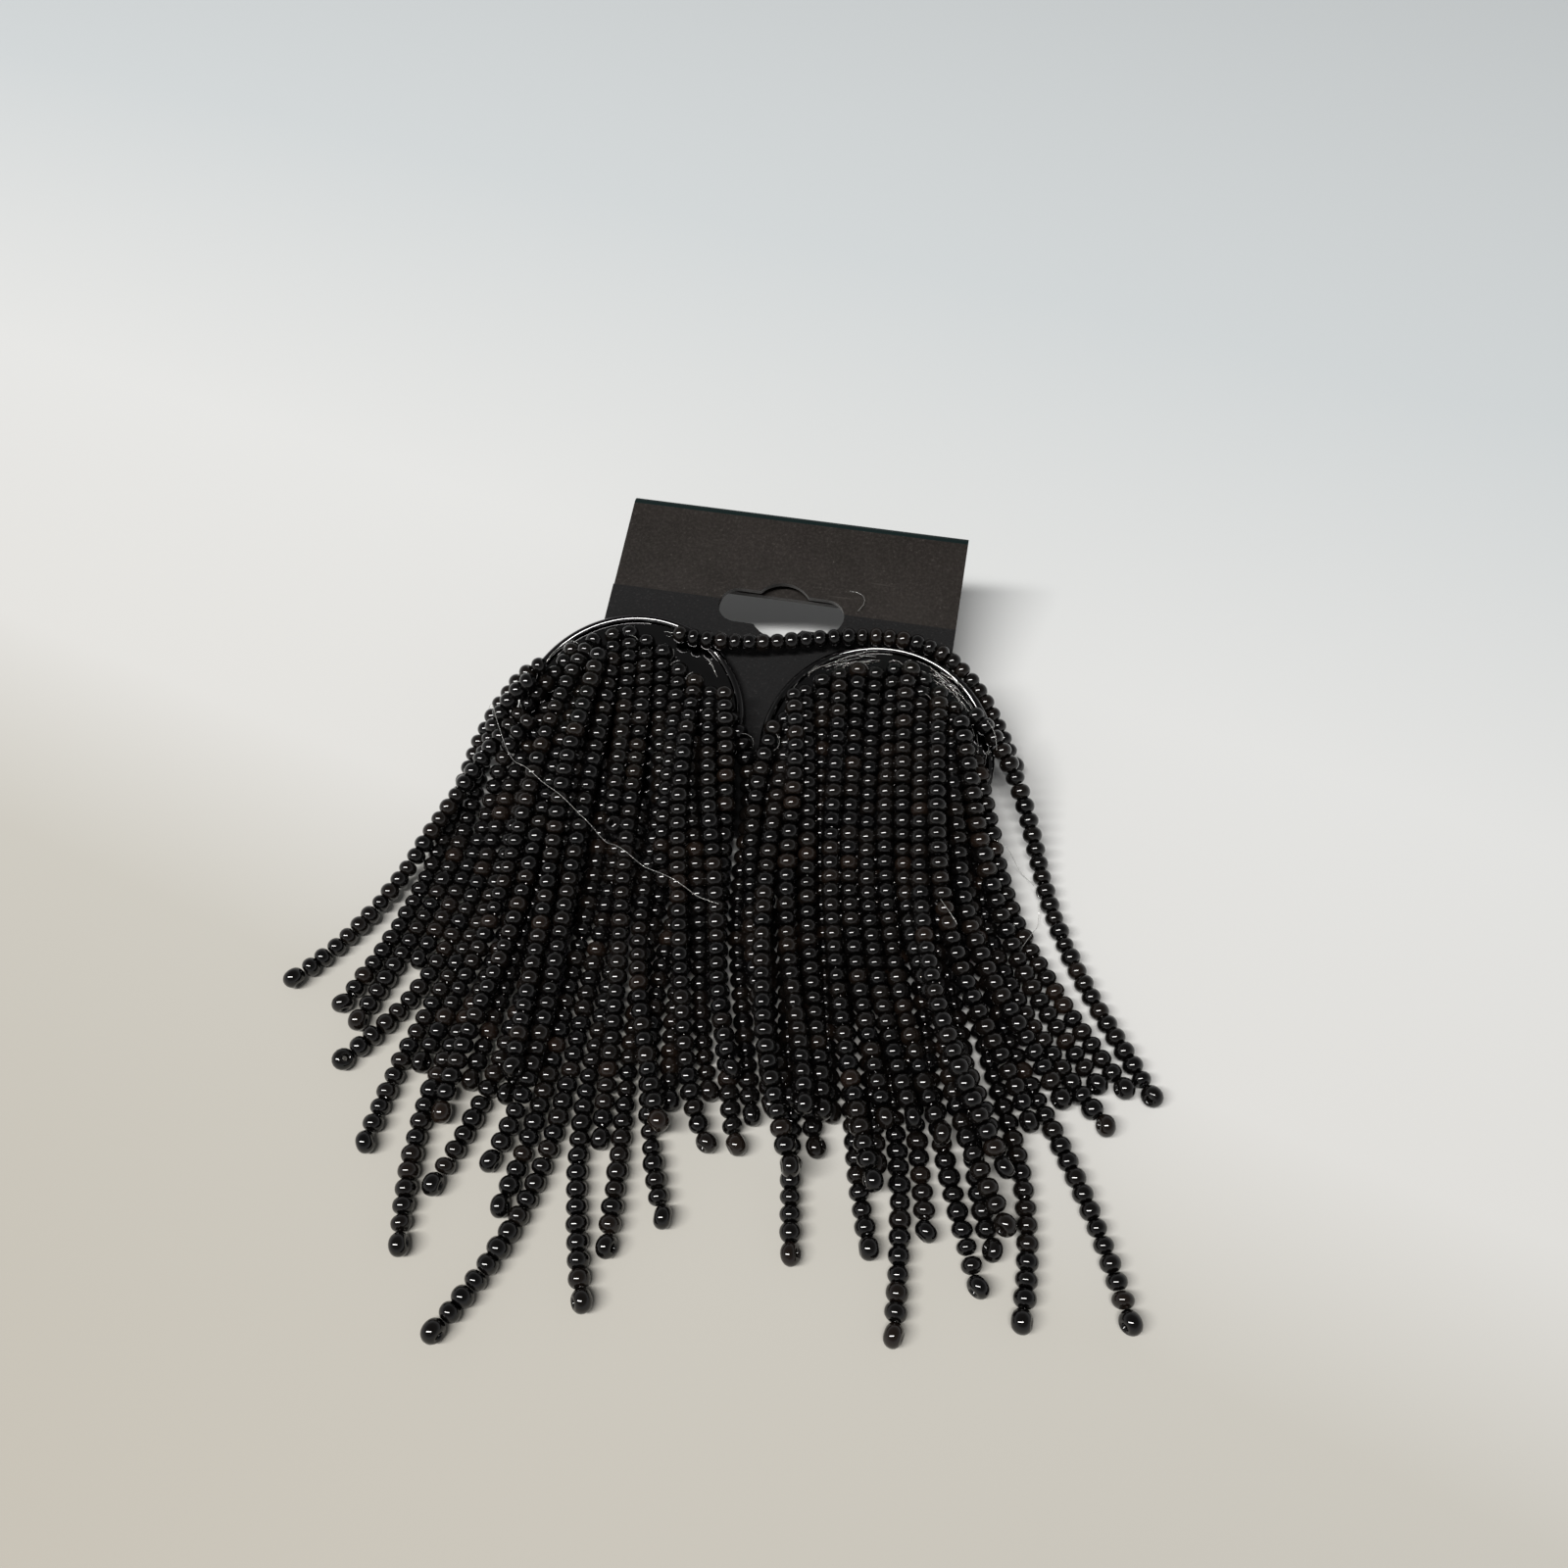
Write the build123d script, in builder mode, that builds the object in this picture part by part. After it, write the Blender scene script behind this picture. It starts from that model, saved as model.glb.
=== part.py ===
"""A pair of beaded fringe earrings on their hanging card, lying on a table.

Millimetres. X runs across the card, Y up it and away from the fringe, Z up from the table.
"""

import os
from math import cos, pi, radians, sin, sqrt, tan

import numpy as np
from build123d import *

# Card
card_width = 50.8
card_height = 50.8
leaf_thickness = 0.9
fold_radius = 1.4
flap_height = 13.1
card_tilt = 18.0

# Hang hole
slot_width = 18.6
slot_height = 5.6
hole_height = 9.1
hole_below_top = 16.2

# Flocked front
flock_thickness = 0.35
flock_below_top = 15.6
layer_gap = 0.05

# Plates, as distances across the card and up it
left_plate_place = (-18.0, 14.2)
right_plate_place = (17.0, 14.6)
plate_diameter = 32.6
rim_wire = 1.3
disc_thickness = 0.7
seat_gap = 0.1

# Posts and the nuts behind the card
post_diameter = 0.9
post_past_nut = 0.5
post_hole_gap = 0.2
nut_diameter = 5.0
nut_bore_gap = 0.1

# Strands
bead_diameter = 2.3
bead_pitch = 1.85
tube_diameter = 2.05
bead_play = 0.1
strand_inset = 2.3
tightest_turn = 7.5

# Routes: node, angle and share of the reach of the first bead on its plate, and points up to the end.
# Each strand is laid over the ones before it.
strand_routes = [
    ("left_lower_strands", 277, 0.9, [(-11.5, -47.0), (-14.0, -57.5), (-19.0, -67.5)]),
    ("left_lower_strands", 294, 0.9, [(-7.5, -47.0), (-3.0, -62.0)]),
    ("left_lower_strands", 224, 0.9, [(-25.0, -17.0), (-27.0, -41.0), (-24.0, -60.5)]),
    ("left_lower_strands", 320, 0.85, [(-5.0, -42.0), (-2.5, -56.5)]),
    ("left_lower_strands", 253, 0.5, [(-14.5, -45.0), (-15.0, -54.5)]),
    ("left_lower_strands", 344, 0.9, [(-2.0, -40.5), (3.5, -52.0)]),
    ("left_lower_strands", 217, 0.55, [(-20.0, -39.5), (-24.0, -53.0)]),
    (
        "left_lower_strands",
        200,
        0.7,
        [(-28.5, -1.5), (-28.9, -16.0), (-30.0, -26.0), (-33.5, -40.0), (-32.5, -50.5)],
    ),
    ("left_lower_strands", 196, 0.9, [(-30.0, 0.0), (-31.8, -10.0), (-33.5, -28.0)]),
    ("left_lower_strands", 226, 0.73, [(-23.0, -41.0)]),
    ("left_lower_strands", 246, 0.72, [(-17.5, -42.0)]),
    ("left_lower_strands", 356, 1.0, [(1.5, -39.0)]),
    ("left_lower_strands", 352, 0.78, [(4.5, -37.0)]),
    ("left_upper_strands", 8, 1.0, [(1.5, 5.0), (7.0, -22.5), (12.0, -38.5)]),
    ("left_upper_strands", 21, 1.0, [(-2.0, 4.5), (3.5, -23.0), (10.0, -42.5)]),
    ("left_upper_strands", 30, 0.88, [(-5.0, 4.0), (2.0, -23.0), (7.5, -34.5)]),
    ("left_upper_strands", 43, 0.8, [(-7.5, 3.5), (-2.0, -24.0), (6.5, -42.5)]),
    ("left_upper_strands", 58, 0.76, [(-9.5, 3.5), (-4.0, -24.5), (5.0, -44.5)]),
    ("left_upper_strands", 77, 0.86, [(-12.0, 3.0), (-7.0, -25.0), (1.0, -42.0)]),
    ("left_upper_strands", 91, 0.92, [(-14.5, 2.5), (-9.5, -25.5), (-7.5, -45.0)]),
    ("left_upper_strands", 102, 1.0, [(-17.0, 2.0), (-13.0, -26.0), (-13.5, -44.5)]),
    ("left_upper_strands", 114, 1.0, [(-22.0, 1.5), (-18.5, -24.5), (-17.0, -41.0), (-19.0, -49.5)]),
    ("left_upper_strands", 143, 0.62, [(-25.5, 1.0), (-22.0, -24.5), (-25.0, -45.5)]),
    ("left_upper_strands", 124, 0.7, [(-24.0, 1.0), (-21.0, -14.5), (-17.5, -39.5)]),
    (
        "left_upper_strands",
        120,
        0.96,
        [(-26.3, 14.0), (-26.8, 7.0), (-28.0, 1.0), (-26.6, -14.0), (-27.0, -26.5), (-30.0, -40.0)],
    ),
    (
        "left_upper_strands",
        177,
        0.85,
        [(-31.0, 5.5), (-32.5, -3.0), (-32.0, -19.5), (-34.5, -34.0), (-40.5, -41.0)],
    ),
    ("left_upper_strands", 171, 1.0, [(-36.0, 10.5), (-35.5, 0.0), (-34.2, -17.5), (-40.0, -36.5)]),
    (
        "left_upper_strands",
        158,
        1.0,
        [(-37.5, 13.5), (-39.5, 5.0), (-37.5, -8.0), (-37.8, -25.0), (-43.0, -34.5)],
    ),
    (
        "left_upper_strands",
        136,
        1.0,
        [(-31.5, 15.5), (-33.3, 8.5), (-35.5, -2.0), (-39.5, -13.5), (-47.0, -29.0), (-51.0, -32.0)],
    ),
    ("right_lower_strands", 286, 0.93, [(28.0, -42.5), (29.0, -59.5)]),
    ("right_lower_strands", 204, 0.86, [(15.5, -45.5), (17.5, -53.0)]),
    ("right_lower_strands", 301, 0.9, [(33.0, -39.5), (38.0, -53.0)]),
    ("right_lower_strands", 228, 0.5, [(21.5, -37.5), (26.0, -51.0)]),
    ("right_lower_strands", 316, 0.85, [(27.5, -10.0), (38.5, -32.0), (42.5, -45.0), (41.5, -55.5)]),
    (
        "right_lower_strands",
        328,
        0.85,
        [(29.0, -6.0), (33.5, -17.0), (41.5, -29.0), (50.0, -42.5), (53.5, -53.5)],
    ),
    ("right_lower_strands", 190, 1.0, [(11.5, -38.0)]),
    ("right_lower_strands", 222, 0.8, [(18.5, -41.0)]),
    ("right_lower_strands", 262, 0.75, [(25.0, -42.0)]),
    ("right_lower_strands", 351, 0.36, [(29.5, -39.0), (31.5, -48.0)]),
    ("right_lower_strands", 322, 0.62, [(26.0, -8.0), (37.5, -45.5), (39.5, -48.5)]),
    ("right_lower_strands", 345, 0.6, [(28.5, -6.0), (35.0, -40.5), (40.5, -46.0)]),
    ("right_upper_strands", 178, 1.0, [(3.0, 5.5), (8.0, -22.0), (15.0, -37.0)]),
    ("right_upper_strands", 166, 1.0, [(4.5, 5.5), (10.0, -21.5), (16.0, -45.0)]),
    ("right_upper_strands", 155, 1.0, [(6.5, 5.5), (11.5, -21.5), (15.5, -38.5)]),
    ("right_upper_strands", 144, 1.0, [(8.5, 6.0), (14.0, -21.0), (18.0, -37.5)]),
    ("right_upper_strands", 132, 0.98, [(11.0, 6.5), (16.0, -20.5), (20.5, -37.0)]),
    ("right_upper_strands", 121, 0.95, [(13.5, 7.0), (18.0, -20.0), (25.5, -44.0)]),
    ("right_upper_strands", 109, 0.95, [(16.5, 7.0), (20.0, -20.0), (25.5, -37.0)]),
    ("right_upper_strands", 98, 0.9, [(18.5, 7.5), (22.5, -19.0), (29.0, -36.5)]),
    ("right_upper_strands", 87, 0.96, [(20.5, 8.0), (24.5, -19.0), (32.5, -37.5)]),
    ("right_upper_strands", 75, 0.97, [(22.5, 8.5), (26.0, -17.0), (39.0, -37.5)]),
    ("right_upper_strands", 66, 0.97, [(24.5, 8.5), (27.0, -13.0), (31.5, -27.5), (40.0, -40.0)]),
    (
        "right_upper_strands",
        42,
        0.95,
        [(26.8, 9.5), (28.0, -3.0), (31.0, -11.5), (37.0, -20.5), (46.0, -30.0)],
    ),
    ("right_upper_strands", -10, 0.8, [(29.9, 1.0), (33.8, -10.5), (40.0, -20.0), (51.5, -32.5)]),
    (
        "right_upper_strands",
        57,
        0.9,
        [(25.3, 13.5), (26.5, 1.5), (28.0, -11.0), (33.0, -23.0), (41.5, -34.0)],
    ),
    (
        "right_upper_strands",
        6,
        0.95,
        [(31.4, 6.0), (32.9, -0.5), (37.2, -9.0), (44.4, -18.2), (53.5, -27.5)],
    ),
    (
        "right_upper_strands",
        26,
        0.82,
        [(28.8, 7.0), (31.7, -2.0), (37.8, -13.3), (44.0, -21.0), (49.5, -28.0)],
    ),
    (
        "left_crossing_strand",
        74,
        1.0,
        [
            (-10.5, 23.5), (-4.5, 25.0), (8.0, 28.5), (18.5, 30.5), (25.5, 27.5), (30.5, 25.0),
            (34.5, 19.5), (37.5, 16.0),
        ],
    ),
    (
        "right_upper_strands",
        31,
        0.95,
        [(36.3, 15.2), (39.2, 8.0), (40.3, 0.0), (45.0, -11.0), (56.0, -28.5)],
    ),
]

# Settling
control_points = 12
samples = 74
rounds = 700
rounds_per_search = 20
drop_per_round = 0.12
stiffness = 0.1

# Worked out
tilt = radians(card_tilt)
face_height = leaf_thickness + layer_gap + flock_thickness
plate_seat = face_height + seat_gap
disc_face = plate_seat + disc_thickness
rim_radius = rim_wire / 2
rim_path = plate_diameter / 2 - rim_radius
bead_radius = bead_diameter / 2
bead_reach = bead_diameter + bead_play
plate_of = {"left": left_plate_place, "right": right_plate_place}
flock_height = card_height - flock_below_top
hole_place = (0, card_height - hole_below_top)
card_plane = Plane(origin=(0, 0, 0), x_dir=(1, 0, 0), z_dir=(0, -sin(tilt), cos(tilt)))


# Places on the tilted card


def off_card(points):
    """Gives points on the card (across, up, off its back face) in the part's frame."""
    across, up, off = np.moveaxis(np.asarray(points, float), -1, 0)
    return np.stack([across, up * cos(tilt) - off * sin(tilt), up * sin(tilt) + off * cos(tilt)], -1)


def onto_card(points):
    """Gives points of the part's frame as across the card, up it and off its back face."""
    x, y, z = np.moveaxis(points, -1, 0)
    return np.stack([x, y * cos(tilt) + z * sin(tilt), z * cos(tilt) - y * sin(tilt)], -1)


# Routes of the strands


def spline_weights(count, places):
    """Gives each control point's share in each place along a clamped quadratic spline."""
    weights = np.zeros((places, count))
    spans = count - 2
    for place in range(places):
        along = place / (places - 1) * spans
        span = min(int(along), spans - 1)
        part = along - span
        before = (1 - part) ** 2 * (1 if span == 0 else 0.5)
        after = part**2 * (1 if span == spans - 1 else 0.5)
        weights[place, span : span + 3] = before, 1 - before - after, after
    return weights


def first_bead(row):
    """Gives the centre of a strand's first bead on its plate."""
    node, angle, share, points = row
    across, up = plate_of[node.split("_")[0]]
    reach = share * (plate_diameter / 2 - strand_inset)
    turn = radians(angle)
    place = (across + reach * cos(turn), up + reach * sin(turn), disc_face + bead_radius + bead_play)
    return off_card(place)


def plan_route(row, start):
    """Gives a strand's samples seen from above, and the sample that belongs at each of its points."""
    points = np.array([tuple(start[:2])] + row[3])
    runs = np.linalg.norm(np.diff(points, axis=0), axis=1)
    along = np.concatenate([[0], np.cumsum(runs)]) / sum(runs)
    share = np.linspace(0, 1, samples)
    plan = np.stack([np.interp(share, along, points[:, axis]) for axis in (0, 1)], -1)
    return plan, sum(runs), [round(place * (samples - 1)) for place in along[1:]]


def ground_height(plan):
    """Gives the height of a bead that lies on the table, the card or a plate."""
    height = np.full(len(plan), bead_radius)
    up = plan[:, 1] / cos(tilt)
    on_card = (abs(plan[:, 0]) < card_width / 2 + bead_radius) & (up > -bead_radius) & (up < card_height)
    card = up * sin(tilt) + (face_height + bead_radius) / cos(tilt)
    height = np.where(on_card, np.maximum(height, card), height)
    top = plate_seat + rim_wire
    up = (plan[:, 1] + top * sin(tilt)) / cos(tilt)
    for across, middle in plate_of.values():
        reach = np.hypot(plan[:, 0] - across, up - middle)
        off = np.where(reach < plate_diameter / 2 - rim_wire - bead_radius, disc_face, top) + bead_radius
        plate = up * sin(tilt) + off / cos(tilt)
        height = np.where(reach < plate_diameter / 2 + bead_radius, np.maximum(height, plate), height)
    return height


def lay_in_order(plans, starts):
    """Lays each strand over the table, the card, the plates and the strands before it."""
    laid = []
    window = 3
    for plan, start in zip(plans, starts):
        height = ground_height(plan)
        for other in laid:
            apart = ((plan[:, None, :] - other[None, :, :2]) ** 2).sum(-1)
            lift = np.sqrt(np.maximum(bead_reach**2 - apart, 0))
            over = np.where(apart < bead_reach**2, other[None, :, 2] + lift, 0).max(1)
            height = np.maximum(height, over)
        height[0] = start[2]
        wide = height.copy()
        for step in range(1, window + 1):
            wide[step:] = np.maximum(wide[step:], height[:-step])
            wide[:-step] = np.maximum(wide[:-step], height[step:])
        width = 2 * window + 1
        eased = np.convolve(np.pad(wide, window, mode="edge"), np.ones(width) / width, "valid")
        eased = np.maximum(eased, height)
        eased[0] = start[2]
        laid.append(np.column_stack([plan, eased]))
    return np.array(laid)


def near_pairs(strands):
    """Lists the samples of different strands, or of far places on one, that could meet soon."""
    count = len(strands)
    flat = strands.reshape(-1, 3)
    margin = drop_per_round * rounds_per_search
    firsts = []
    seconds = []
    for strand in range(count):
        own = strands[strand]
        rest = flat[strand * samples :]
        low = own.min(0) - bead_reach - margin
        high = own.max(0) + bead_reach + margin
        near = np.nonzero(((rest > low) & (rest < high)).all(1))[0]
        apart = ((own[:, None, :] - rest[near][None]) ** 2).sum(-1)
        first, second = np.nonzero(apart < (bead_reach + margin / 2) ** 2)
        second = near[second]
        keep = (second >= samples) | (second - first > 7)
        firsts.append(strand * samples + first[keep])
        seconds.append(strand * samples + second[keep])
    return np.concatenate(firsts), np.concatenate(seconds)


def push_apart(strands, pairs):
    """Moves samples that are closer than two beads can be."""
    first, second = pairs
    flat = strands.reshape(-1, 3)
    step = flat[second] - flat[first]
    apart = np.sqrt((step * step).sum(1)) + 1e-9
    meet = apart < bead_reach
    first, second, step, apart = first[meet], second[meet], step[meet], apart[meet]
    move = (0.5 * (bead_reach - apart) / apart)[:, None] * step
    total = len(flat)
    shares = np.bincount(first, minlength=total) + np.bincount(second, minlength=total)
    shift = np.zeros_like(flat)
    for axis in range(3):
        shift[:, axis] = np.bincount(second, move[:, axis], total) - np.bincount(first, move[:, axis], total)
    flat = flat + shift / np.maximum(shares, 1)[:, None] * 1.4
    return flat.reshape(strands.shape)


def keep_length(strands, lengths):
    """Brings neighbouring samples back to their distance."""
    spacing = lengths[:, None] / (samples - 1)
    for start in (0, 1):
        left = strands[:, start:-1:2]
        right = strands[:, start + 1 :: 2]
        count = min(left.shape[1], right.shape[1])
        step = right[:, :count] - left[:, :count]
        apart = np.sqrt((step * step).sum(-1)) + 1e-9
        move = (0.5 * (apart - spacing) / apart)[..., None] * step
        strands[:, start : start + 2 * count : 2] += move
        strands[:, start + 1 : start + 1 + 2 * count : 2] -= move
    return strands


def ease_turns(routes):
    """Takes the sharpest turns out of the control points."""
    before, here, after = routes[:, :-2], routes[:, 1:-1], routes[:, 2:]
    first = np.linalg.norm(here - before, axis=-1, keepdims=True)
    second = np.linalg.norm(after - here, axis=-1, keepdims=True)
    chord = (before * second + after * first) / (first + second)
    bulge = here - chord
    size = np.linalg.norm(bulge, axis=-1, keepdims=True) + 1e-9
    turn = 2 * np.arctan(0.45 * np.minimum(first, second) / tightest_turn)
    most = first * second / (first + second) * turn
    extra = (np.maximum(size - most, 0) / size + stiffness) * bulge
    routes[:, 1:-1] -= 0.5 * extra
    routes[:, :-2] += 0.25 * extra
    routes[:, 2:] += 0.25 * extra
    return routes


def keep_off_card(place):
    """Lifts samples off the card, given across it, up it and off its back face."""
    half = np.array([card_width, card_height, face_height]) / 2
    middle = np.array([0, card_height / 2, face_height / 2])
    step = place - middle
    nearest = np.clip(step, -half, half)
    away = step - nearest
    apart = np.sqrt((away**2).sum(-1, keepdims=True))
    out = away / np.maximum(apart, 1e-6) * np.maximum(bead_radius - apart, 0)
    rise = np.array([0, 0, 1]) * (half[2] + bead_radius - step[..., 2:3])
    return place + np.where(apart < 1e-6, rise, out)


def keep_off_plates(place):
    """Lifts samples off the plates' faces and rims."""
    for across, up in plate_of.values():
        arm = place[..., :2] - np.array([across, up])
        reach = np.sqrt((arm**2).sum(-1)) + 1e-9
        above = (place[..., 2] > plate_seat) | (reach < rim_path - bead_radius)
        lifted = np.maximum(place[..., 2], disc_face + bead_radius)
        place[..., 2] = np.where(above & (reach < rim_path), lifted, place[..., 2])
        short = np.where(above, 0, np.maximum(rim_path + bead_radius - reach, 0))
        place[..., :2] += (short / reach)[..., None] * arm
        out = reach - rim_path
        off = place[..., 2] - plate_seat - rim_radius
        apart = np.sqrt(out**2 + off**2) + 1e-9
        short = np.maximum(rim_radius + bead_radius - apart, 0)
        place[..., 2] += short * off / apart
        place[..., :2] += (short * out / apart / reach)[..., None] * arm
    return place


def keep_off_all(strands):
    """Lifts samples off the table, the card and the plates."""
    strands[..., 2] = np.maximum(strands[..., 2], bead_radius)
    strands = off_card(keep_off_plates(keep_off_card(onto_card(strands))))
    strands[..., 2] = np.maximum(strands[..., 2], bead_radius)
    return strands


def keep_starts_on_plates(strands):
    """Keeps each first bead on its plate's face, inside the rim."""
    place = onto_card(strands[:, 0])
    middle = np.array([plate_of[row[0].split("_")[0]] for row in strand_routes])
    arm = place[:, :2] - middle
    reach = np.sqrt((arm**2).sum(1)) + 1e-9
    most = plate_diameter / 2 - strand_inset
    place[:, :2] = middle + arm * np.minimum(most / reach, 1)[:, None]
    place[:, 2] = np.maximum(place[:, 2], disc_face + bead_radius)
    strands[:, 0] = off_card(place)
    return strands


def pull_to_points(strands, starts, places, pull):
    """Draws each strand toward its first bead's place and its points."""
    for strand, row in enumerate(strand_routes):
        for sample, point in zip(places[strand], row[3]):
            strands[strand, sample, :2] += 0.3 * pull * (np.array(point) - strands[strand, sample, :2])
    strands[:, 0, :2] += (0.3 + 0.4 * pull) * (starts - strands[:, 0])[:, :2]
    return strands


def settled_routes():
    """Drops the laid strands until they rest, and gives their control points."""
    starts = np.array([first_bead(row) for row in strand_routes])
    plans, lengths, places = zip(*[plan_route(row, start) for row, start in zip(strand_routes, starts)])
    strands = lay_in_order(plans, starts)
    weights = spline_weights(control_points, samples)
    fit = np.linalg.pinv(weights)
    for turn in range(rounds):
        if turn % rounds_per_search == 0:
            pairs = near_pairs(strands)
        done = turn / rounds
        strands[..., 2] -= drop_per_round * (1 if done < 0.6 else 0.1 if done < 0.8 else 0)
        strands = pull_to_points(strands, starts, places, 1 if done < 0.6 else 0.3 if done < 0.8 else 0.08)
        for repeat in range(2):
            strands = keep_length(push_apart(strands, pairs), np.array(lengths))
        strands = keep_starts_on_plates(keep_off_all(weights @ ease_turns(fit @ strands)))
    return fit @ strands


# Tubes


def turn_radii(points):
    """Gives the largest arc that each turn of a route has room for."""
    radii = []
    for before, here, after in zip(points, points[1:], points[2:]):
        first = Vector(*here) - Vector(*before)
        second = Vector(*after) - Vector(*here)
        turn = radians(first.get_angle(second))
        radii.append(0.45 * min(first.length, second.length) / tan(turn / 2))
    return radii


os.makedirs("parts", exist_ok=True)
nodes = []
routes = settled_routes()

# Card, folded over at the top
with BuildPart() as card:
    with BuildSketch(card_plane):
        with Locations((0, (card_height - fold_radius) / 2)):
            Rectangle(card_width, card_height - fold_radius)
    extrude(amount=leaf_thickness)
    with BuildSketch(card_plane.offset(leaf_thickness - 2 * fold_radius)):
        with Locations((0, card_height - (flap_height + fold_radius) / 2)):
            Rectangle(card_width, flap_height - fold_radius)
    extrude(amount=leaf_thickness)
    fold_middle = (0, card_height - fold_radius, leaf_thickness - fold_radius)
    fold_place = card_plane.location * Location(fold_middle, (0, 90, 0))
    fold_end = fold_place.position - Vector(card_width / 2, 0, 0)
    fold_side = Plane(fold_end, x_dir=-card_plane.z_dir, z_dir=(1, 0, 0))
    with BuildSketch(fold_side):
        Circle(fold_radius)
        Circle(fold_radius - leaf_thickness, mode=Mode.SUBTRACT)
        with Locations((0, -fold_radius)):
            Rectangle(2 * fold_radius, 2 * fold_radius, mode=Mode.SUBTRACT)
    extrude(amount=card_width)
    with BuildSketch(card_plane):
        with Locations(hole_place):
            SlotOverall(slot_width, slot_height)
            Circle(hole_height / 2)
        with Locations(left_plate_place, right_plate_place):
            Circle(post_diameter / 2 + post_hole_gap)
    extrude(amount=leaf_thickness, mode=Mode.SUBTRACT)
card.part.label = "card"
nodes.append(card)

# Flocked layer on the card's lower front
with BuildPart() as card_flock:
    with BuildSketch(card_plane.offset(leaf_thickness + layer_gap)):
        with Locations((0, flock_height / 2)):
            Rectangle(card_width, flock_height)
        with Locations(hole_place):
            SlotOverall(slot_width, slot_height, mode=Mode.SUBTRACT)
            Circle(hole_height / 2, mode=Mode.SUBTRACT)
        with Locations(left_plate_place, right_plate_place):
            Circle(post_diameter / 2 + post_hole_gap, mode=Mode.SUBTRACT)
    extrude(amount=flock_thickness)
card_flock.part.label = "card_flock"
nodes.append(card_flock)

for side, place in plate_of.items():
    # The nut's lower edge meets the table
    nut_reach = (place[1] - nut_diameter / 2) * tan(tilt)

    # Rimmed plate with its post
    with BuildPart() as plate:
        with BuildSketch(card_plane.offset(plate_seat)):
            with Locations(place):
                Circle(rim_path)
        extrude(amount=disc_thickness)
        with Locations(card_plane.location * Location((*place, plate_seat + rim_radius))):
            Torus(rim_path, rim_radius)
        with BuildSketch(card_plane.offset(plate_seat + disc_thickness / 2)):
            with Locations(place):
                Circle(post_diameter / 2)
        extrude(amount=-(plate_seat + disc_thickness / 2 + nut_reach + post_past_nut))
    plate.part.label = f"{side}_plate"
    nodes.append(plate)

    # Ear nut behind the card
    with BuildPart() as ear_nut:
        with BuildSketch(card_plane.offset(-seat_gap)):
            with Locations(place):
                Circle(nut_diameter / 2)
                Circle(post_diameter / 2 + nut_bore_gap, mode=Mode.SUBTRACT)
        extrude(amount=seat_gap - nut_reach)
    ear_nut.part.label = f"{side}_ear_nut"
    nodes.append(ear_nut)

# Strands of beads, each a tube as wide as its beads
for name in sorted({row[0] for row in strand_routes}):
    expected = 0
    sharpest = []
    with BuildPart() as group:
        for row, points in zip(strand_routes, routes):
            if row[0] != name:
                continue
            radii = turn_radii(points)
            with BuildLine():
                route = FilletPolyline(*[tuple(point) for point in points], radius=radii)
            with BuildSketch(Plane(origin=route @ 0, z_dir=route % 0)):
                Circle(tube_diameter / 2)
            sweep(path=route)
            expected += route.length * pi * (tube_diameter / 2) ** 2
            sharpest.append(round(min(radii), 1))
    group.part.label = name
    nodes.append(group)
    print(name, "sharpest radii", sharpest, "volume", round(group.part.volume / expected, 4))

# The whole pair is centred on the origin
boxes = [node.part.bounding_box() for node in nodes]
middle_x = (min(box.min.X for box in boxes) + max(box.max.X for box in boxes)) / 2
middle_y = (min(box.min.Y for box in boxes) + max(box.max.Y for box in boxes)) / 2
for node in nodes:
    node.part.locate(Location((-middle_x, -middle_y, 0)))
    export_step(node.part, f"parts/{node.part.label}.step")
print("centred by", round(middle_x, 3), round(middle_y, 3))
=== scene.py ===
"""A pair of beaded fringe earrings on their hanging card, lying on a table. Metres."""

import math

import bpy
import numpy as np
from mathutils import Matrix, Vector


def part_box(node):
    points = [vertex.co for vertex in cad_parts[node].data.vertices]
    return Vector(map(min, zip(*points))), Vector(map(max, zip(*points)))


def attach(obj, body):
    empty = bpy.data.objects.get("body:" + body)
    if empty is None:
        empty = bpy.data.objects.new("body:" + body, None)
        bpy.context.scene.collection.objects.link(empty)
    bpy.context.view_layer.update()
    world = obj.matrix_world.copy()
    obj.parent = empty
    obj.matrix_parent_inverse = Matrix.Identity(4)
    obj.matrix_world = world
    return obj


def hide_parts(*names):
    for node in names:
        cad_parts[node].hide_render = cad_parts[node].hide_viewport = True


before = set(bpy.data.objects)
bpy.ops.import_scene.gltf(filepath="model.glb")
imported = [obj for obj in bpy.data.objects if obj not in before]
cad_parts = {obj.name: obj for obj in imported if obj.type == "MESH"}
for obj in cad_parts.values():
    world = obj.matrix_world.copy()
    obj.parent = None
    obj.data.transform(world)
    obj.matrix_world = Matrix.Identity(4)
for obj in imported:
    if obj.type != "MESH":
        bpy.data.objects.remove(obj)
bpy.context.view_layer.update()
chance = np.random.default_rng(7)

MM = 0.001

# Camera, from the middle of the card's bottom edge
CARD_TILT = math.radians(18)
LEAF_THICKNESS = 0.9 * MM
CAMERA_FROM_FOOT = Vector((22.14, -82.33, 129.77)) * MM
CAMERA_FORWARD = Vector((-0.1091, 0.5776, -0.8090))
CAMERA_RIGHT = Vector((0.9826, 0.1857, 0))
SENSOR_WIDTH = 36
FIELD_RATIO = 1150 / 1600

# Tubes of the frame
STATION = 0.8 * MM
SMOOTHINGS = 4

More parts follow.
